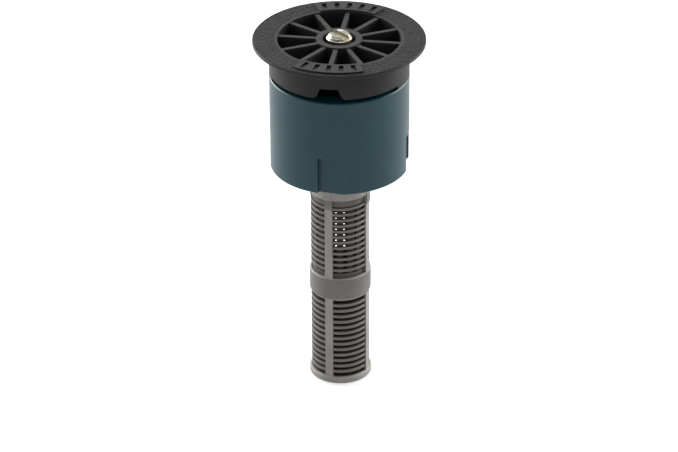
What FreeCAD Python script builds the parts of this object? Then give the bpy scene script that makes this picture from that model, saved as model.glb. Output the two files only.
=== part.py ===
import FreeCAD, Part
import math
import os

# Strip-pattern spray nozzle of a pop-up lawn sprinkler, with its filter basket plugged in.
# Millimetres, +Z up. Z = 0 is the flat foot of the filter and the Z axis is the nozzle's axis.
# The first outlet looks along -Y and its twin along +Y. Azimuths are in degrees, counted from
# -Y towards +X, so a point at azimuth a and radius r stands at (r sin a, -r cos a).

V = FreeCAD.Vector
UP = V(0, 0, 1)

# ---- fits ----
RUN_GAP = 0.05          # radial running clearance of every piece that moves in another
WELD_GAP = 0.02         # radial gap round the insert and the cap's stem, which the weld fills
NECK_GAP = 0.1          # axial gap above the filter's neck
PASS_GAP = 0.25         # radial room for the filter's flange to pass the riser thread
THROTTLE_GAP = 0.17     # radial room round the screw in the throttle hole
SINK_GAP = 0.62         # radial room round the screw at the top of the hub

# ---- filter basket ----
COLLAR_R = 5.05
COLLAR_H = 15.0
THROAT_SET_BACK = 0.45  # plain throat between the upper window and the collar
THROAT_H = 1.35
FOOT_RISE = 0.08        # foot, band, bars and rings stand out or lie back from the collar
FOOT_H = 1.2
FOOT_ROUND = 0.35
BAND_RISE = 0.02
BAND_H = 4.2
BAND_CONE_H = 0.5
BAND_TOP_CONE_H = 0.25
BAND_STEP_SET_BACK = 0.3   # step on top of the band, inside the upper window
BAND_STEP_H = 0.75
RING_SET_BACK = 0.25
UPPER_RING_DEPTH = 0.48
UPPER_RING_H = 0.40
LOWER_RING_DEPTH = 1.05   # deep enough that no straight line runs through from above
LOWER_RING_H = 0.46
LOWER_RINGS = 13
LOWER_WINDOW_H = 14.55
LOWER_LAST = 0.98       # centre of the lowest ring above the window's bottom
LOWER_FIRST = 0.97      # centre of the highest ring below the window's top
UPPER_RINGS = 12
UPPER_WINDOW_H = 13.2
UPPER_LAST = 1.485
UPPER_FIRST = 0.33
RIB_COUNT = 16          # fine upright ribs behind the rings
RIB_W = 1.0
RIB_DEPTH = 0.60
LOWER_RIB_EXTRA = 0.45  # how much further in the ribs reach below the band
RIB_LAP = 0.06          # how far the ribs run into the rings
BAR_COUNT = 4
BAR_SET_BACK = 0.15
BAR_W = 1.36
BAR_FLARE_H = 1.0       # height below the throat over which the bars swell out
BAR_TOP_RISE = 0.06     # bars over the collar
BAR_TOP_LAP = 0.5       # how far up the collar they run
SEAT_FLANGE_T = 0.7
NECK_H = 1.4            # plug above the flange, in the body's socket
FILTER_TURN = -14.5     # azimuth of one of the bars

# ---- nozzle body ----
BODY_R = 11.35
BODY_FOOT_ROUND = 0.4
BODY_TOP_BEVEL = 0.15
RISER_SOCKET_DEPTH = 11.2
THREAD_MAJOR_D = 15.875   # 5/8-28 unified thread
THREAD_PITCH = 25.4 / 28
THREAD_LEAD_IN = 0.65
RUNOUT_H = 1.3            # plain groove between the thread and the seat
RUNOUT_CLEAR = 0.12
THROTTLE_T = 0.7          # web that the screw's tip closes on
CHAMBER_H = 1.55          # between the web and the insert
GRIP_COUNT = 4
GRIP_MIDDLE = 2.6         # azimuth of the first grip's middle
GRIP_SPAN = 25
GRIP_DEPTH = 0.9
GRIP_H = 6.45

# ---- orifice insert ----
INSERT_WALL = 2.6         # body wall left around the insert
INSERT_T = 1.5
PORT_MARGIN = 0.35        # from a port to the stem and to the chamber's wall
PORT_HALF = 26            # half angle of a metering port

# ---- deflector cap ----
FLANGE_OVERHANG = 2.65    # rim beyond the skirt
FLANGE_RIM_H = 0.65
FLANGE_ROOT_H = 1.3
RIM_BEVEL = 0.15
SKIRT_H = 5.4             # flange top to the skirt's lower edge
SKIRT_WALL = 1.40
SLOT_H = 0.75             # spray slot between skirt and body
SLOT_HALF = 64            # half angle of each spray slot
LAND_BEVEL = 0.2          # foot of the lands between the spray slots
POCKET_FLOOR_T = 1.2
CHANNEL_ROOF_T = 0.8      # raised pocket floor over each outlet channel
RAISED_HALF = 30
SPOKE_COUNT = 12
SPOKE_W = 0.72
SPOKE_SINK = 0.2          # spokes lie this far under the flange
HUB_WALL = 1.02
HUB_SINK_DEPTH = 2.4
STEM_WALL = 0.97
PAD_SET_BACK = 1.0        # pad's outer edge from the rim
PAD_LEDGE = 0.12          # pad's inner edge from the pocket
PAD_HALF = 26
PAD_RISE = 0.28
PAD_NOTCH_AZ = (-20, -10, 0, 10, 20)
PAD_NOTCH_W = 0.8
PAD_NOTCH_MARGIN = 0.45   # pad left at each end of a notch
PAD_NOTCH_DEPTH = 0.4
CHANNEL_H = 1.8           # outlet channel above the skirt's lower edge
CHANNEL_TOP_W = 2.85
CHANNEL_FOOT_W = 5.0
CHANNEL_FLARE_H = 0.45
CHANNEL_FLARE_W = 1.0
OUTLET_AZ = (0, 180)

# ---- radius screw ----
SCREW_R = 4.166 / 2       # number 8, 32 threads to the inch
SCREW_PITCH = 25.4 / 32
SCREW_THREAD_DEPTH = 0.49
SCREW_PROUD = 0.85        # top of the screw above the flange
SCREW_LIFT = 1.0          # tip above the throttle web
SCREW_CROWN_W = 0.55      # worn crown round the screw's top
SCREW_CROWN_H = 0.7
SCREW_TIP_R = 1.3
SCREW_TIP_H = 0.9
SCREW_SLOT_W = 1.2
SCREW_SLOT_DEPTH = 0.5
SCREW_SLOT_TURN = -38     # plan angle of the driver slot from +X

# ---- heights that follow, from the filter's foot up ----
LOWER_WINDOW_Z = FOOT_H
BAND_Z = LOWER_WINDOW_Z + LOWER_WINDOW_H
UPPER_WINDOW_Z = BAND_Z + BAND_H
THROAT_Z = UPPER_WINDOW_Z + UPPER_WINDOW_H
COLLAR_Z = THROAT_Z + THROAT_H
SEAT_FLANGE_Z = COLLAR_Z + COLLAR_H
SEAT_Z = SEAT_FLANGE_Z + SEAT_FLANGE_T
NECK_TOP_Z = SEAT_Z + NECK_H
THROTTLE_Z = NECK_TOP_Z + NECK_GAP
CHAMBER_Z = THROTTLE_Z + THROTTLE_T
INSERT_Z = CHAMBER_Z + CHAMBER_H
BODY_Z = SEAT_Z - RISER_SOCKET_DEPTH
BODY_TOP_Z = INSERT_Z + INSERT_T
SKIRT_Z = BODY_TOP_Z + SLOT_H
FLANGE_Z = SKIRT_Z + SKIRT_H
POCKET_Z = SKIRT_Z + POCKET_FLOOR_T
CHANNEL_TOP_Z = SKIRT_Z + CHANNEL_H
SCREW_TOP_Z = FLANGE_Z + SCREW_PROUD
SCREW_TIP_Z = CHAMBER_Z + SCREW_LIFT

# ---- radii that follow ----
FOOT_R = COLLAR_R + FOOT_RISE
BAND_R = COLLAR_R + BAND_RISE
BAR_R = COLLAR_R - BAR_SET_BACK
RING_R = COLLAR_R - RING_SET_BACK
BORE_R = RING_R - UPPER_RING_DEPTH - RIB_DEPTH
LOWER_BORE_R = BORE_R - LOWER_RIB_EXTRA
THROAT_R = COLLAR_R - THROAT_SET_BACK
THREAD_R = THREAD_MAJOR_D / 2
THREAD_CREST_R = THREAD_R - 0.5413 * THREAD_PITCH
SEAT_FLANGE_R = THREAD_CREST_R - PASS_GAP
SOCKET_R = COLLAR_R + RUN_GAP
THROTTLE_R = SCREW_R + THROTTLE_GAP
INSERT_R = BODY_R - INSERT_WALL - WELD_GAP
STEM_R = SCREW_R + RUN_GAP + STEM_WALL
PORT_INNER_R = STEM_R + PORT_MARGIN
PORT_OUTER_R = SOCKET_R - PORT_MARGIN
POCKET_R = BODY_R - SKIRT_WALL
FLANGE_R = BODY_R + FLANGE_OVERHANG
HUB_SINK_R = SCREW_R + SINK_GAP
HUB_R = HUB_SINK_R + HUB_WALL
PAD_INNER_R = POCKET_R + PAD_LEDGE
PAD_OUTER_R = FLANGE_R - PAD_SET_BACK
PAD_NOTCH_INNER_R = PAD_INNER_R + PAD_NOTCH_MARGIN
PAD_NOTCH_OUTER_R = PAD_OUTER_R - PAD_NOTCH_MARGIN

CUT = 1.0               # how far a cutter runs past the face that it opens
LAP = 0.1               # how far two lumps of one piece run into each other


def tube(inner, outer, z0, z1):
    body = Part.makeCylinder(outer, z1 - z0, V(0, 0, z0))
    if inner <= 0:
        return body
    return body.cut(Part.makeCylinder(inner, z1 - z0 + 2 * CUT, V(0, 0, z0 - CUT)))


def sector(inner, outer, z0, z1, azimuth, half):
    pie = Part.makeCylinder(outer, z1 - z0, V(0, 0, z0), UP, 2 * half)
    pie.rotate(V(0, 0, 0), UP, azimuth - 90 - half)
    return pie.cut(Part.makeCylinder(inner, z1 - z0 + 2 * CUT, V(0, 0, z0 - CUT)))


def spoke(width, inner, outer, z0, z1, azimuth):
    bar = Part.makeBox(width, outer - inner, z1 - z0, V(-width / 2, -outer, z0))
    bar.rotate(V(0, 0, 0), UP, azimuth)
    return bar


def around(count, start=0.0):
    return [start + 360.0 * i / count for i in range(count)]


def turned(profile):
    """Solid of revolution of a closed (radius, z) outline."""
    points = [V(r, 0, z) for r, z in profile]
    face = Part.Face(Part.makePolygon(points + points[:1]))
    return face.revolve(V(0, 0, 0), UP, 360)


def prism_along_y(outline, y0, y1):
    """Solid of an (x, z) outline run from y0 to y1."""
    points = [V(x, y0, z) for x, z in outline]
    return Part.Face(Part.makePolygon(points + points[:1])).extrude(V(0, y1 - y0, 0))


def one(solids):
    lump = solids[0].multiFuse(solids[1:]).removeSplitter()
    return lump.Solids[0] if len(lump.Solids) == 1 else lump


def thread_cutter(mouth_r, root_r, mouth_w, root_w, pitch, z0, z1):
    """Helical V cutter: mouth_w wide at mouth_r and root_w wide at root_r."""
    helix = Part.makeHelix(pitch, z1 - z0, root_r)
    outline = [
        V(mouth_r, 0, -mouth_w / 2),
        V(root_r, 0, -root_w / 2),
        V(root_r, 0, root_w / 2),
        V(mouth_r, 0, mouth_w / 2),
    ]
    profile = Part.makePolygon(outline + outline[:1])
    cutter = Part.Wire(helix.Edges).makePipeShell([profile], True, True)
    cutter.translate(V(0, 0, z0))
    return cutter


# ---- filter basket: one grey moulding ----

def ring_heights(count, window_z, window_h, first, last):
    step = (window_h - first - last) / (count - 1)
    return [window_z + last + i * step for i in range(count)]


def filter_window(count, depth, ring_h, z0, height, first, last):
    top = z0 + height
    pieces = [tube(RING_R - depth, RING_R, z - ring_h / 2, z + ring_h / 2)
              for z in ring_heights(count, z0, height, first, last)]
    rib_outer = RING_R - depth + RIB_LAP
    pieces += [spoke(RIB_W, LOWER_BORE_R - CUT, rib_outer, z0 - LAP, top + LAP, azimuth)
               for azimuth in around(RIB_COUNT)]
    pieces += [spoke(BAR_W, BORE_R, BAR_R, z0 - LAP, top + LAP, azimuth)
               for azimuth in around(BAR_COUNT)]
    return pieces


def filter_foot():
    foot = Part.makeCylinder(FOOT_R, FOOT_H)
    rims = [e for e in foot.Edges if abs(e.Length - 2 * math.pi * FOOT_R) < 1e-6]
    return foot.makeFillet(FOOT_ROUND, rims)


def filter_band():
    top = BAND_Z + BAND_H
    step_r, step_top = RING_R - BAND_STEP_SET_BACK, top + BAND_STEP_H
    return turned([(BORE_R, BAND_Z), (RING_R, BAND_Z), (BAND_R, BAND_Z + BAND_CONE_H),
                   (BAND_R, top - BAND_TOP_CONE_H), (RING_R, top), (step_r, top),
                   (step_r, step_top), (BORE_R, step_top)])


def bar_flare(azimuth):
    """Top of one bar, swelling out until it laps over the collar."""
    top_r, top_z = COLLAR_R + BAR_TOP_RISE, COLLAR_Z + BAR_TOP_LAP
    outline = [(-BORE_R, THROAT_Z - BAR_FLARE_H), (-BAR_R, THROAT_Z - BAR_FLARE_H),
               (-top_r, THROAT_Z), (-top_r, top_z), (-BORE_R, top_z)]
    points = [V(-BAR_W / 2, y, z) for y, z in outline]
    flare = Part.Face(Part.makePolygon(points + points[:1])).extrude(V(BAR_W, 0, 0))
    flare.rotate(V(0, 0, 0), UP, azimuth)
    return flare


def filter_collar():
    return turned([(BORE_R, THROAT_Z), (THROAT_R, THROAT_Z), (THROAT_R, COLLAR_Z),
                   (COLLAR_R, COLLAR_Z), (COLLAR_R, SEAT_FLANGE_Z),
                   (SEAT_FLANGE_R, SEAT_FLANGE_Z), (SEAT_FLANGE_R, SEAT_Z), (COLLAR_R, SEAT_Z),
                   (COLLAR_R, NECK_TOP_Z), (BORE_R, NECK_TOP_Z)])


def filter_basket():
    pieces = [filter_foot(), filter_band(), filter_collar()]
    pieces += filter_window(LOWER_RINGS, LOWER_RING_DEPTH, LOWER_RING_H,
                            LOWER_WINDOW_Z, LOWER_WINDOW_H, LOWER_FIRST, LOWER_LAST)
    pieces += filter_window(UPPER_RINGS, UPPER_RING_DEPTH, UPPER_RING_H,
                            UPPER_WINDOW_Z, UPPER_WINDOW_H, UPPER_FIRST, UPPER_LAST)
    pieces += [bar_flare(azimuth) for azimuth in around(BAR_COUNT)]
    core = [tube(0, LOWER_BORE_R, FOOT_H, BAND_Z + CUT),
            tube(0, BORE_R, BAND_Z, NECK_TOP_Z + CUT)]
    basket = one(pieces).cut(core)
    basket.rotate(V(0, 0, 0), UP, FILTER_TURN)
    return basket


# ---- nozzle body: teal moulding with the riser thread ----

def body_blank():
    foot = Part.makeCylinder(BODY_R, BODY_TOP_Z - BODY_Z, V(0, 0, BODY_Z))
    low = [e for e in foot.Edges if abs(e.CenterOfMass.z - BODY_Z) < 1e-6]
    foot = foot.makeFillet(BODY_FOOT_ROUND, low)
    high = [e for e in foot.Edges if abs(e.CenterOfMass.z - BODY_TOP_Z) < 1e-6]
    return foot.makeChamfer(BODY_TOP_BEVEL, high)


def grip_cutter(middle, side):
    """Flat-floored notch: an upright wall at one end, the floor running out towards side."""
    wall, run_out = middle - side * GRIP_SPAN / 2, middle + side * GRIP_SPAN / 2

    def at(radius, angle):
        a = math.radians(angle)
        return V(radius * math.sin(a), -radius * math.cos(a), BODY_Z - CUT)
    points = [at(BODY_R - GRIP_DEPTH, wall), at(BODY_R + CUT, wall),
              at(BODY_R + CUT, run_out), at(BODY_R, run_out)]
    outline = Part.Face(Part.makePolygon(points + points[:1]))
    return outline.extrude(V(0, 0, GRIP_H + CUT))


def riser_socket():
    mouth_r = THREAD_CREST_R + THREAD_LEAD_IN
    runout_r = THREAD_R + RUNOUT_CLEAR
    return turned([(0, BODY_Z - CUT), (mouth_r, BODY_Z - CUT), (mouth_r, BODY_Z),
                   (THREAD_CREST_R, BODY_Z + THREAD_LEAD_IN),
                   (THREAD_CREST_R, SEAT_Z - RUNOUT_H), (runout_r, SEAT_Z - RUNOUT_H),
                   (runout_r, SEAT_Z), (0, SEAT_Z)])


def riser_thread():
    mouth_r = THREAD_CREST_R - LAP
    flank = 2 * math.tan(math.radians(30))
    root_w = THREAD_PITCH / 8
    mouth_w = root_w + flank * (THREAD_R - mouth_r)
    return thread_cutter(mouth_r, THREAD_R, mouth_w, root_w, THREAD_PITCH,
                         BODY_Z - THREAD_PITCH, SEAT_Z - RUNOUT_H + THREAD_PITCH / 4)


def nozzle_body():
    bores = [riser_socket(),
             tube(0, SOCKET_R, SEAT_Z - LAP, THROTTLE_Z),
             tube(0, THROTTLE_R, THROTTLE_Z - LAP, CHAMBER_Z + LAP),
             tube(0, SOCKET_R, CHAMBER_Z, INSERT_Z + LAP),
             tube(0, INSERT_R + WELD_GAP, INSERT_Z, BODY_TOP_Z + CUT)]
    sides = (1, -1) * (GRIP_COUNT // 2)
    grips = [grip_cutter(middle, side)
             for middle, side in zip(around(GRIP_COUNT, GRIP_MIDDLE), sides)]
    return body_blank().cut(bores + grips).cut(riser_thread())


# ---- orifice insert: black disc dropped into the body, held down by the cap ----

def orifice_insert():
    ports = [sector(PORT_INNER_R, PORT_OUTER_R, INSERT_Z - CUT, BODY_TOP_Z + CUT, azimuth, PORT_HALF)
             for azimuth in OUTLET_AZ]
    return tube(STEM_R + WELD_GAP, INSERT_R, INSERT_Z, BODY_TOP_Z).cut(ports)


# ---- deflector cap: black moulding, welded to the body ----

def cap_blank():
    rim_z = FLANGE_Z - FLANGE_RIM_H
    return turned([(0, INSERT_Z), (STEM_R, INSERT_Z), (STEM_R, BODY_TOP_Z),
                   (BODY_R - LAND_BEVEL, BODY_TOP_Z), (BODY_R, BODY_TOP_Z + LAND_BEVEL),
                   (BODY_R, FLANGE_Z - FLANGE_ROOT_H), (FLANGE_R - RIM_BEVEL, rim_z),
                   (FLANGE_R, rim_z + RIM_BEVEL), (FLANGE_R, FLANGE_Z - RIM_BEVEL),
                   (FLANGE_R - RIM_BEVEL, FLANGE_Z), (0, FLANGE_Z)])


def cap_pocket():
    spokes = [spoke(SPOKE_W, 0, POCKET_R + CUT, POCKET_Z - CUT, FLANGE_Z - SPOKE_SINK, azimuth)
              for azimuth in around(SPOKE_COUNT)]
    pocket = tube(HUB_R, POCKET_R, POCKET_Z, FLANGE_Z + CUT)
    raised = [sector(HUB_R - LAP, POCKET_R + LAP, POCKET_Z - LAP, CHANNEL_TOP_Z + CHANNEL_ROOF_T,
                     azimuth, RAISED_HALF) for azimuth in OUTLET_AZ]
    return pocket.cut(spokes + raised)


def outlet_channel(azimuth):
    """Trapezoid channel from a metering port out through the skirt, flared at its foot."""
    knee_w = CHANNEL_FOOT_W - CHANNEL_FLARE_W
    outline = [(-CHANNEL_FOOT_W / 2, SKIRT_Z - LAP), (-CHANNEL_FOOT_W / 2, SKIRT_Z),
               (-knee_w / 2, SKIRT_Z + CHANNEL_FLARE_H), (-CHANNEL_TOP_W / 2, CHANNEL_TOP_Z),
               (CHANNEL_TOP_W / 2, CHANNEL_TOP_Z), (knee_w / 2, SKIRT_Z + CHANNEL_FLARE_H),
               (CHANNEL_FOOT_W / 2, SKIRT_Z), (CHANNEL_FOOT_W / 2, SKIRT_Z - LAP)]
    channel = prism_along_y(outline, -BODY_R - CUT, -PORT_INNER_R)
    channel.rotate(V(0, 0, 0), UP, azimuth)
    return channel


def pad(azimuth):
    lump = sector(PAD_INNER_R, PAD_OUTER_R, FLANGE_Z - LAP, FLANGE_Z + PAD_RISE, azimuth, PAD_HALF)
    floor = FLANGE_Z + PAD_RISE - PAD_NOTCH_DEPTH
    notches = [spoke(PAD_NOTCH_W, PAD_NOTCH_INNER_R, PAD_NOTCH_OUTER_R, floor,
                     FLANGE_Z + CUT, azimuth + offset) for offset in PAD_NOTCH_AZ]
    return lump, notches


def deflector_cap():
    slots = [sector(STEM_R, BODY_R + CUT, BODY_TOP_Z - LAP, SKIRT_Z, azimuth, SLOT_HALF)
             for azimuth in OUTLET_AZ]
    channels = [outlet_channel(azimuth) for azimuth in OUTLET_AZ]
    sink = tube(0, HUB_SINK_R, FLANGE_Z - HUB_SINK_DEPTH, FLANGE_Z + CUT)
    bore = tube(0, SCREW_R + RUN_GAP, INSERT_Z - CUT, FLANGE_Z + CUT)
    cap = cap_blank().cut(cap_pocket())
    pads, notches = [], []
    for azimuth in OUTLET_AZ:
        lump, cuts = pad(azimuth)
        pads.append(lump)
        notches += cuts
    return one([cap] + pads).cut(slots + channels + notches + [sink, bore])


# ---- radius screw: stainless, threaded all the way ----

def radius_screw():
    blank = turned([(0, SCREW_TIP_Z), (SCREW_TIP_R, SCREW_TIP_Z), (SCREW_R, SCREW_TIP_Z + SCREW_TIP_H),
                    (SCREW_R, SCREW_TOP_Z - SCREW_CROWN_H),
                    (SCREW_R - SCREW_CROWN_W, SCREW_TOP_Z), (0, SCREW_TOP_Z)])
    root_r = SCREW_R - SCREW_THREAD_DEPTH
    mouth_r = SCREW_R + LAP
    root_w = SCREW_PITCH / 4
    mouth_w = root_w + 2 * math.tan(math.radians(30)) * (mouth_r - root_r)
    groove = thread_cutter(mouth_r, root_r, mouth_w, root_w, SCREW_PITCH,
                           SCREW_TIP_Z - SCREW_PITCH, SCREW_TOP_Z + SCREW_PITCH)
    slot = Part.makeBox(4 * SCREW_R, SCREW_SLOT_W, SCREW_SLOT_DEPTH + CUT,
                        V(-2 * SCREW_R, -SCREW_SLOT_W / 2, SCREW_TOP_Z - SCREW_SLOT_DEPTH))
    slot.rotate(V(0, 0, 0), UP, SCREW_SLOT_TURN)
    return blank.cut(groove).cut(slot)


NODES = {
    "deflector_cap": deflector_cap,
    "nozzle_body": nozzle_body,
    "orifice_insert": orifice_insert,
    "radius_screw": radius_screw,
    "filter_basket": filter_basket,
}


def main():
    os.makedirs("parts", exist_ok=True)
    for name, make in NODES.items():
        shape = make()
        box = shape.BoundBox
        print(name, "solids", len(shape.Solids), "valid", shape.isValid(),
              "volume %.1f" % shape.Volume, "z %.2f to %.2f" % (box.ZMin, box.ZMax))
        shape.exportStep("parts/%s.step" % name)


main()
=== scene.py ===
import math

import bpy
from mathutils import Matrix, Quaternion, Vector


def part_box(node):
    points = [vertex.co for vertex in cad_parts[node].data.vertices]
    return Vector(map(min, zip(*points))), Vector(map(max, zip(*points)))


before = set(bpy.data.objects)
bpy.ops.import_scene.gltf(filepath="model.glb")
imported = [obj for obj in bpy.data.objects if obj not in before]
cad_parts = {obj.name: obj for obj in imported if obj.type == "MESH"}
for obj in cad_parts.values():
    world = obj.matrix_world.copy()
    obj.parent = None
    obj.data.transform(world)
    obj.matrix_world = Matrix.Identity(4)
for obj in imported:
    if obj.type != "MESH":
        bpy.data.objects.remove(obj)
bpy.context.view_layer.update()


# ---- camera ----
# A long lens from a little right of the first outlet, about 29 degrees above the nozzle,
# which stands upright in the frame.
MM = 0.001
CAMERA_AZIMUTH = math.radians(8.5)
CAMERA_ELEVATION = math.radians(28.75)
CAMERA_DISTANCE = 650 * MM
CAMERA_ROLL = math.radians(-0.28)
AIM_HEIGHT = 27.22 * MM
AIM_SIDE = -0.17 * MM
LENS, SENSOR_WIDTH = 209.7, 36    # millimetres, as the camera counts them
NEAREST = 10 * MM

to_camera = Vector((math.sin(CAMERA_AZIMUTH), -math.cos(CAMERA_AZIMUTH), 0))
to_right = Vector((math.cos(CAMERA_AZIMUTH), math.sin(CAMERA_AZIMUTH), 0))
height = Vector((0, 0, AIM_HEIGHT))
aim = height + to_right * AIM_SIDE
eye = height + CAMERA_DISTANCE * (to_camera * math.cos(CAMERA_ELEVATION)
                                  + Vector((0, 0, math.sin(CAMERA_ELEVATION))))
bpy.ops.object.camera_add(location=eye)
camera = bpy.context.object
camera.name = "camera"
camera.data.lens = LENS
camera.data.sensor_width = SENSOR_WIDTH
camera.data.clip_start = NEAREST
camera.rotation_mode = "QUATERNION"
camera.rotation_quaternion = ((aim - eye).to_track_quat("-Z", "Y")
                              @ Quaternion((0, 0, 1), CAMERA_ROLL))
bpy.context.scene.camera = camera


# ---- studio ----
# A pale table and a white surround. The surround is darker in front than behind, as a studio
# is, so that dark plastic keeps its depth, and tall soft boxes light the two sides.
WHITE = (1, 1, 1, 1)
FRONT_GLOSS = 0.25                # the surround as shiny skin mirrors it
BACK_GLOSS = 0.72
GLOSS_TURN = (-0.8, 0.35)         # where one becomes the other, from front to back
SURROUND_LIGHT = 0.66
BOX_AIM = Vector((0, 0, 35 * MM))
BOX_DISTANCE = 0.5
TABLE_SIZE = 6
TABLE_DROP = 0.01 * MM            # keeps the table clear of the foot's underside
TABLE_COLOUR = (0.5, 0.5, 0.5, 1)
TABLE_ROUGHNESS = 0.8
TABLE_SHEEN = 0.1
TABLE_GLOW = 0.52


def new_node(tree, kind, **values):
    """Adds a node; values set its properties or, by name, its inputs."""
    node = tree.nodes.new(kind)
    for name, value in values.items():
        if hasattr(node, name):
            setattr(node, name, value)
        else:
            node.inputs[name.replace("_", " ")].default_value = value
    return node


def seen_straight(tree, path):
    """Output that is 1 where the camera looks straight or through something clear."""
    straight = new_node(tree, "ShaderNodeMath", operation="MAXIMUM")
    tree.links.new(path.outputs["Is Camera Ray"], straight.inputs[0])
    tree.links.new(path.outputs["Is Transmission Ray"], straight.inputs[1])
    return straight.outputs[0]


def light_surround():
    """White to the camera, an even light on dull skin and two shades of grey in shiny skin."""
    world = bpy.data.worlds.new("white surround")
    bpy.context.scene.world = world
    world.use_nodes = True
    tree = world.node_tree
    background = tree.nodes["Background"]
    background.inputs["Color"].default_value = WHITE
    direction = new_node(tree, "ShaderNodeTexCoord")
    split = new_node(tree, "ShaderNodeSeparateXYZ")
    tree.links.new(direction.outputs["Generated"], split.inputs[0])
    gloss = new_node(tree, "ShaderNodeMapRange", From_Min=GLOSS_TURN[0],
                     From_Max=GLOSS_TURN[1], To_Min=FRONT_GLOSS, To_Max=BACK_GLOSS)
    gloss.interpolation_type = "SMOOTHSTEP"
    tree.links.new(split.outputs["Y"], gloss.inputs["Value"])
    path = new_node(tree, "ShaderNodeLightPath")
    straight = seen_straight(tree, path)
    mirrored = new_node(tree, "ShaderNodeMix", A=SURROUND_LIGHT)
    tree.links.new(path.outputs["Is Glossy Ray"], mirrored.inputs["Factor"])
    tree.links.new(gloss.outputs[0], mirrored.inputs["B"])
    strength = new_node(tree, "ShaderNodeMix", B=1.0)
    tree.links.new(straight, strength.inputs["Factor"])
    tree.links.new(mirrored.outputs[0], strength.inputs["A"])
    tree.links.new(strength.outputs[0], background.inputs["Strength"])


def soft_box(name, azimuth, elevation, width, tall, watts, distance=BOX_DISTANCE):
    """A soft box turned to the nozzle; azimuth in degrees from the first outlet towards +X."""
    a, e = math.radians(azimuth), math.radians(elevation)
    towards = Vector((math.sin(a) * math.cos(e), -math.cos(a) * math.cos(e), math.sin(e)))
    bpy.ops.object.light_add(type="AREA", location=towards * distance + BOX_AIM)
    lamp = bpy.context.object
    lamp.name = name
    lamp.rotation_euler = (-towards).to_track_quat("-Z", "Y").to_euler()
    lamp.data.shape = "RECTANGLE"
    lamp.data.size = width
    lamp.data.size_y = tall
    lamp.data.energy = watts


light_surround()
soft_box("box_top", 190, 72, width=0.5, tall=0.4, watts=2.2, distance=0.6)
soft_box("box_left", -118, 12, width=0.40, tall=0.5, watts=4.8)
soft_box("box_right", 124, 12, width=0.30, tall=0.5, watts=3.5)

bpy.ops.mesh.primitive_plane_add(size=TABLE_SIZE, location=(0, 0, -TABLE_DROP))
table = bpy.context.object
table.name = "table"
cloth = bpy.data.materials.new("pale table")
cloth.use_nodes = True
tree = cloth.node_tree
shader = tree.nodes["Principled BSDF"]
shader.inputs["Base Color"].default_value = TABLE_COLOUR
shader.inputs["Roughness"].default_value = TABLE_ROUGHNESS
shader.inputs["Specular IOR Level"].default_value = TABLE_SHEEN
shader.inputs["Emission Color"].default_value = WHITE
straight = seen_straight(tree, new_node(tree, "ShaderNodeLightPath"))
glow = new_node(tree, "ShaderNodeMath", operation="MULTIPLY")
tree.links.new(straight, glow.inputs[0])
glow.inputs[1].default_value = TABLE_GLOW
tree.links.new(glow.outputs[0], shader.inputs["Emission Strength"])
table.data.materials.append(cloth)
bpy.context.scene.view_settings.view_transform = "Standard"


# ---- filter basket ----
# One moulding in warm grey plastic that plugs into the body from below: a foot, a band and a
# collar joined by four bars, with hoops over fine upright ribs between them. Its inside and
# its ribs are painted dark brown, a painted shade for the little light that gets in, and its
# foot and collar are painted paler, a painted light.
FILTER_GREY = (0.172, 0.164, 0.154, 1)
FILTER_SHADE_GREY = (0.148, 0.140, 0.130, 1)
# Pale: the worn edges and the bars' faces, and painted light on the foot and the collar.
FILTER_PALE_WEAR_AND_LIGHT = (0.315, 0.301, 0.282, 1)
FILTER_PAINTED_SHADE = (0.046, 0.038, 0.032, 1)
FILTER_ROUGHNESS = (0.62, 0.52)
FILTER_GRAIN_DEPTH = 0.006
FILTER_DARK_R = 4.42              # all within this radius is painted dark, a painted shade, and
FILTER_UNSHADED_R = 4.74             # all beyond this one is its own grey
FILTER_BAR_R = (4.85, 4.89, 4.99, 5.03)   # the bars' faces, pale, begin and end here
FILTER_FOOT_Z = (1.3, 1.1)        # the foot is painted light below this height
FILTER_COLLAR_Z = (34.45, 34.55)  # and the collar above this one


def new_group(name, inputs=(), outputs=()):
    """A shader node group; inputs are (name, value), outputs are (name, kind)."""
    group = bpy.data.node_groups.new(name, "ShaderNodeTree")
    for title, value in inputs:
        socket = group.interface.new_socket(title, in_out="INPUT", socket_type="NodeSocketFloat")
        socket.default_value = value
    for title, kind in outputs:
        group.interface.new_socket(title, in_out="OUTPUT", socket_type="NodeSocket" + kind)
    return group, group.nodes.new("NodeGroupInput"), group.nodes.new("NodeGroupOutput")


def place_group():
    """Point on the nozzle, its radius from the axis and its height, all in millimetres."""
    group, _, out = new_group("place on the nozzle", (),
                              (("Radius", "Float"), ("Height", "Float"), ("Point", "Vector")))
    point = new_node(group, "ShaderNodeTexCoord")
    scale = new_node(group, "ShaderNodeVectorMath", operation="SCALE")
    scale.inputs["Scale"].default_value = 1 / MM
    flat = new_node(group, "ShaderNodeVectorMath", operation="MULTIPLY")
    flat.inputs[1].default_value = (1, 1, 0)
    length = new_node(group, "ShaderNodeVectorMath", operation="LENGTH")
    split = new_node(group, "ShaderNodeSeparateXYZ")
    group.links.new(point.outputs["Object"], scale.inputs[0])
    group.links.new(scale.outputs[0], flat.inputs[0])
    group.links.new(flat.outputs[0], length.inputs[0])
    group.links.new(scale.outputs[0], split.inputs[0])
    group.links.new(length.outputs["Value"], out.inputs["Radius"])
    group.links.new(split.outputs["Z"], out.inputs["Height"])
    group.links.new(scale.outputs[0], out.inputs["Point"])
    return group


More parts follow.
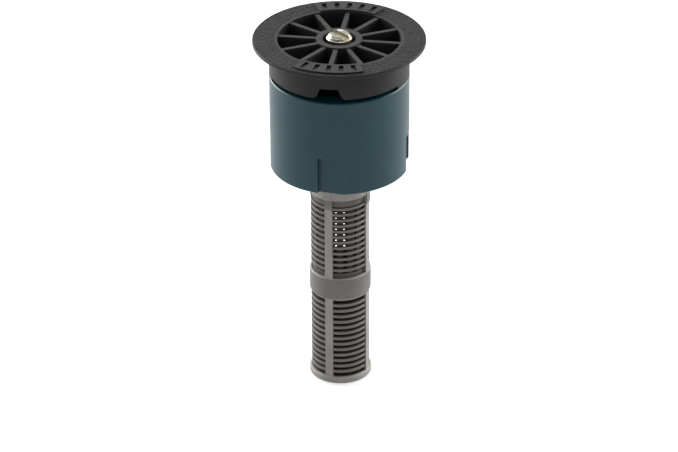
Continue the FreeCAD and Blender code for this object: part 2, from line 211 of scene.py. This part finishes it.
def rounding_group():
    """Rounds edges by a radius in millimetres and marks them for wear."""
    group, given, out = new_group("rounded edges", (("Radius", 0.08),),
                                  (("Normal", "Vector"), ("Edge", "Float")))
    metres = new_node(group, "ShaderNodeMath", operation="MULTIPLY")
    metres.inputs[1].default_value = MM
    bevel = new_node(group, "ShaderNodeBevel", samples=8)
    face = new_node(group, "ShaderNodeNewGeometry")
    along = new_node(group, "ShaderNodeVectorMath", operation="DOT_PRODUCT")
    edge = new_node(group, "ShaderNodeMapRange", From_Min=0.995, From_Max=0.80)
    group.links.new(given.outputs["Radius"], metres.inputs[0])
    group.links.new(metres.outputs[0], bevel.inputs["Radius"])
    group.links.new(bevel.outputs[0], along.inputs[0])
    group.links.new(face.outputs["Normal"], along.inputs[1])
    group.links.new(along.outputs["Value"], edge.inputs["Value"])
    group.links.new(bevel.outputs[0], out.inputs["Normal"])
    group.links.new(edge.outputs[0], out.inputs["Edge"])
    return group


def skin_group():
    """Skin of a moulding: fine grain as a height, and a broad uneven shade."""
    group, given, out = new_group("moulded skin", (("Grain Size", 0.15), ("Patch Size", 6.0)),
                                  (("Height", "Float"), ("Shade", "Float")))
    place = new_node(group, "ShaderNodeGroup", node_tree=PLACE)
    for size, title, detail in (("Grain Size", "Height", 2), ("Patch Size", "Shade", 3)):
        scale = new_node(group, "ShaderNodeMath", operation="DIVIDE")
        scale.inputs[0].default_value = 1
        noise = new_node(group, "ShaderNodeTexNoise", Detail=detail, Roughness=0.55)
        group.links.new(given.outputs[size], scale.inputs[1])
        group.links.new(scale.outputs[0], noise.inputs["Scale"])
        group.links.new(place.outputs["Point"], noise.inputs["Vector"])
        group.links.new(noise.outputs["Fac"], out.inputs[title])
    return group


PLACE = place_group()
ROUNDING = rounding_group()
SKIN = skin_group()


class Finish:
    """A material under construction, with rounded edges and an uneven skin; sizes in millimetres."""

    def __init__(self, name, rounding, grain, patch):
        self.material = bpy.data.materials.new(name)
        self.material.use_nodes = True
        self.tree = self.material.node_tree
        self.shader = self.tree.nodes["Principled BSDF"]
        self.place = self.group(PLACE)
        self.radius, self.level = self.place.outputs["Radius"], self.place.outputs["Height"]
        self.edges = self.group(ROUNDING, Radius=rounding)
        self.edge = self.edges.outputs["Edge"]
        self.skin = self.group(SKIN, Grain_Size=grain, Patch_Size=patch)
        self.grain = self.skin.outputs["Height"]

    def add(self, kind, **values):
        return new_node(self.tree, "ShaderNode" + kind, **values)

    def group(self, tree, **values):
        node = self.add("Group", node_tree=tree)
        for name, value in values.items():
            node.inputs[name.replace("_", " ")].default_value = value
        return node

    def link(self, source, target):
        self.tree.links.new(source, target)

    def ramp(self, value, low, high, to_low=0.0, to_high=1.0):
        """value's way from low to high as a number from to_low to to_high."""
        node = self.add("MapRange", From_Min=low, From_Max=high, To_Min=to_low, To_Max=to_high)
        self.link(value, node.inputs["Value"])
        return node.outputs[0]

    def shade(self, low, high, to_low=0.0, to_high=1.0):
        """The skin's uneven shade, ramped."""
        return self.ramp(self.skin.outputs["Shade"], low, high, to_low, to_high)

    def combine(self, operation, a, b=0):
        """A maths operation on numbers or other nodes' outputs."""
        node = self.add("Math", operation=operation)
        for socket, value in zip(node.inputs, (a, b)):
            if isinstance(value, (int, float)):
                socket.default_value = value
            else:
                self.link(value, socket)
        return node.outputs[0]

    def blend(self, factor, a, b):
        """Colour a where factor is 0 and colour b where it is 1."""
        node = self.add("Mix", data_type="RGBA")
        self.link(factor, node.inputs[0])
        for socket, colour in ((node.inputs[6], a), (node.inputs[7], b)):
            if isinstance(colour, tuple):
                socket.default_value = colour
            else:
                self.link(colour, socket)
        return node.outputs[2]

    def lay_on(self, piece, colour, roughness, height, depth):
        """Joins up the shader, with bumps as deep as depth, and gives the piece this material."""
        bump = self.add("Bump", Strength=1.0, Distance=depth * MM)
        self.link(height, bump.inputs["Height"])
        self.link(self.edges.outputs["Normal"], bump.inputs["Normal"])
        self.link(bump.outputs[0], self.shader.inputs["Normal"])
        self.link(colour, self.shader.inputs["Base Color"])
        self.link(roughness, self.shader.inputs["Roughness"])
        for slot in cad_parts[piece].material_slots:
            slot.material = self.material


grey = Finish("warm grey moulding", rounding=0.07, grain=0.16, patch=5.0)
outside = grey.ramp(grey.radius, FILTER_DARK_R, FILTER_UNSHADED_R)
tone = grey.blend(grey.shade(0.35, 0.65), FILTER_SHADE_GREY, FILTER_GREY)
bar_in, bar_near, bar_far, bar_out = FILTER_BAR_R
on_bar = grey.combine("MULTIPLY", grey.ramp(grey.radius, bar_in, bar_near),
                      grey.ramp(grey.radius, bar_out, bar_far))
# Painted light: the foot and the collar are painted paler where they catch light; the bars' faces and
# the worn edges are paler too.
painted_light_ends = grey.combine("MAXIMUM", grey.ramp(grey.level, *FILTER_FOOT_Z),
                      grey.ramp(grey.level, *FILTER_COLLAR_Z))
pale_mask = grey.combine("MAXIMUM", grey.combine("MAXIMUM", on_bar, painted_light_ends), grey.edge)
pale_mask = grey.combine("MULTIPLY", pale_mask, grey.shade(0.3, 0.6, 0.6, 1.0))
tone = grey.blend(pale_mask, tone, FILTER_PALE_WEAR_AND_LIGHT)
# Within the dark radius the colour is a painted shade of dark brown.
grey.lay_on("filter_basket", grey.blend(outside, FILTER_PAINTED_SHADE, tone),
            grey.shade(0.3, 0.7, *FILTER_ROUGHNESS), grey.grain, FILTER_GRAIN_DEPTH)


# ---- nozzle body ----
# A dark teal moulding that screws on the sprinkler's riser. Its skin is satin, a little paler
# where hands have rubbed its edges and the walls of its four grip notches.
TEAL = (0.0012, 0.046, 0.062, 1)
TEAL_DEEP = (0.0010, 0.039, 0.053, 1)
TEAL_RUBBED = (0.030, 0.100, 0.118, 1)
TEAL_ROUGHNESS = (0.34, 0.28)
TEAL_GRAIN_DEPTH = 0.003

teal = Finish("dark teal moulding", rounding=0.12, grain=0.2, patch=7.0)
tone = teal.blend(teal.shade(0.35, 0.65), TEAL_DEEP, TEAL)
pale_mask = teal.combine("MULTIPLY", teal.edge, teal.shade(0.3, 0.7, 0.4, 1.0))
teal.lay_on("nozzle_body", teal.blend(pale_mask, tone, TEAL_RUBBED),
            teal.shade(0.3, 0.7, *TEAL_ROUGHNESS), teal.grain, TEAL_GRAIN_DEPTH)


# ---- orifice insert ----
# A black moulded disc with two metering ports, dropped into the body's top. Only its ports'
# surrounds can be seen, through the outlets.
INSERT_BLACK = (0.010, 0.010, 0.010, 1)
INSERT_DUSTY = (0.016, 0.016, 0.015, 1)
INSERT_ROUGHNESS = (0.45, 0.35)
INSERT_GRAIN_DEPTH = 0.003

jet = Finish("smooth black moulding", rounding=0.06, grain=0.12, patch=3.0)
jet.lay_on("orifice_insert", jet.blend(jet.shade(0.4, 0.7), INSERT_BLACK, INSERT_DUSTY),
           jet.shade(0.3, 0.7, *INSERT_ROUGHNESS), jet.grain, INSERT_GRAIN_DEPTH)


# ---- deflector cap ----
# A black acetal moulding welded on the body. The flat ring round its top has a coarse grain
# from the mould, and is painted darker, a painted shade that is darkest in the grain's pits;
# pads, spokes and hub are smooth, and the pocket between them is dull. The tops of the spokes
# and hub are painted paler, a painted sheen.
CAP_BLACK = (0.0105, 0.0105, 0.0102, 1)
CAP_GREYED = (0.0155, 0.0155, 0.015, 1)
CAP_PIT_SHADE = (0.0020, 0.0022, 0.0022, 1)
CAP_RING_SHADE = (0.0078, 0.0081, 0.0079, 1)
CAP_PAINTED_SHEEN = (0.018, 0.0184, 0.0176, 1)
CAP_EDGE = (0.030, 0.030, 0.029, 1)
CAP_ROUGHNESS = (0.56, 0.48)
RING_ROUGHER = 0.2                # added on the grained ring
PAD_RISE = 0.28                   # pads over the flange
RING_R = (10.4, 10.45)            # the grain sets in between these radii
RING_LEVEL = (0.08, 0.02)         # and this near to the flange's top
RING_GRAIN, RING_PATCH = 0.5, 1.6
RING_GRAIN_DEPTH = 0.8
SMOOTH_SHARE = 0.03               # the smooth parts' grain against the ring's
SHEEN_DOWN_TO = (0.6, 0.5)        # a painted sheen lies this far under the flange's top
SHEEN_R = (9.9, 9.8)              # and within this radius

black = Finish("black moulding, grained ring", rounding=0.08, grain=0.14, patch=5.0)
coarse = black.group(SKIN, Grain_Size=RING_GRAIN, Patch_Size=RING_PATCH)
flange_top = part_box("deflector_cap")[1].z / MM - PAD_RISE
under_top = black.combine("SUBTRACT", flange_top, black.level)
on_ring = black.combine("MULTIPLY", black.ramp(black.radius, *RING_R),
                        black.ramp(black.combine("ABSOLUTE", under_top), *RING_LEVEL))
tone = black.blend(black.shade(0.35, 0.7), CAP_BLACK, CAP_GREYED)
# Painted shade: the grained ring is painted darker than the smooth parts, darkest in the pits of its
# grain.
grain_shade = black.blend(black.ramp(coarse.outputs["Height"], 0.40, 0.62), CAP_PIT_SHADE, CAP_RING_SHADE)
tone = black.blend(on_ring, tone, grain_shade)
# Painted sheen: the tops of the spokes and hub are painted paler, standing in for the light they catch.
sheen_on_tops = black.combine("MULTIPLY", black.ramp(under_top, *SHEEN_DOWN_TO),
                          black.ramp(black.radius, *SHEEN_R))
tone = black.blend(sheen_on_tops, tone, CAP_PAINTED_SHEEN)
worn = black.combine("MULTIPLY", black.edge,
                     black.ramp(coarse.outputs["Shade"], 0.35, 0.65, 0.2, 0.9))
roughness = black.combine("ADD", black.shade(0.3, 0.7, *CAP_ROUGHNESS),
                          black.combine("MULTIPLY", on_ring, RING_ROUGHER))
relief = black.combine("ADD", black.combine("MULTIPLY", black.grain, SMOOTH_SHARE),
                       black.combine("MULTIPLY", coarse.outputs["Height"], on_ring))
black.shader.inputs["Specular IOR Level"].default_value = 0.36
black.lay_on("deflector_cap", black.blend(worn, tone, CAP_EDGE), roughness, relief,
             RING_GRAIN_DEPTH)


# ---- radius screw ----
# A turned stainless screw, number 8-32, threaded all the way and slotted for a blade. Its
# crown is worn bright and scored in rings, with painted shade in the scores' troughs, and its
# slot and its grooves are a dark olive.
STEEL = (0.50, 0.48, 0.44, 1)
STEEL_DULL = (0.34, 0.32, 0.28, 1)
STEEL_DARK_OLIVE = (0.26, 0.235, 0.15, 1)
STEEL_ROUGHNESS = (0.34, 0.24)
DARK_OLIVE_ROUGHER = 0.25
SLOT_TURN = math.radians(-38)
SLOT_SIDE = (0.66, 0.61)          # the dark olive sets in this near to the slot's middle
SLOT_DOWN = (0.12, 0.4)           # and this far down from the screw's top
GROOVE_R = (1.883, 1.65)          # the same for the thread's grooves
GROOVE_DOWN = (0.2, 0.3)
GROOVE_SHARE = 0.5                # their dark olive against the slot's
SCORE_PITCH = 0.34
SCORED_R = (0.75, 1.05)           # scores fade in between these radii
SCORE_SHARE = 0.5                 # their height against the skin's
STEEL_GRAIN_DEPTH = 0.05

steel = Finish("worn stainless steel", rounding=0.07, grain=0.4, patch=0.7)
down = steel.combine("SUBTRACT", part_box("radius_screw")[1].z / MM, steel.level)
across = steel.add("VectorMath", operation="DOT_PRODUCT")
across.inputs[1].default_value = (-math.sin(SLOT_TURN), math.cos(SLOT_TURN), 0)
steel.link(steel.place.outputs["Point"], across.inputs[0])
from_middle = steel.combine("ABSOLUTE", across.outputs["Value"])
in_slot = steel.combine("MULTIPLY", steel.ramp(from_middle, *SLOT_SIDE), steel.ramp(down, *SLOT_DOWN))
in_groove = steel.combine("MULTIPLY", steel.ramp(steel.radius, *GROOVE_R),
                          steel.ramp(down, *GROOVE_DOWN))
olive_and_painted_shade = steel.combine("MAXIMUM", in_slot, steel.combine("MULTIPLY", in_groove, GROOVE_SHARE))
phase = steel.combine("MULTIPLY", steel.radius, 2 * math.pi / SCORE_PITCH)
scored = steel.combine("MULTIPLY", steel.ramp(steel.radius, *SCORED_R), steel.shade(0.3, 0.5, 0.5, 1.0))
scores = steel.combine("MULTIPLY", steel.combine("SINE", phase), scored)
# Painted shade: the troughs of the scores are darkened towards the dark olive.
olive_and_painted_shade = steel.combine("MAXIMUM", olive_and_painted_shade, steel.ramp(scores, -0.3, -0.9, 0.0, 0.6))
olive_and_painted_shade = steel.combine("MULTIPLY", olive_and_painted_shade, steel.shade(0.3, 0.6, 0.55, 1.0))
tone = steel.blend(steel.shade(0.35, 0.65), STEEL_DULL, STEEL)
roughness = steel.combine("ADD", steel.shade(0.3, 0.7, *STEEL_ROUGHNESS),
                          steel.combine("MULTIPLY", olive_and_painted_shade, DARK_OLIVE_ROUGHER))
relief = steel.combine("ADD", steel.grain, steel.combine("MULTIPLY", scores, SCORE_SHARE))
steel.shader.inputs["Metallic"].default_value = 1.0
steel.lay_on("radius_screw", steel.blend(olive_and_painted_shade, tone, STEEL_DARK_OLIVE), roughness, relief, STEEL_GRAIN_DEPTH)
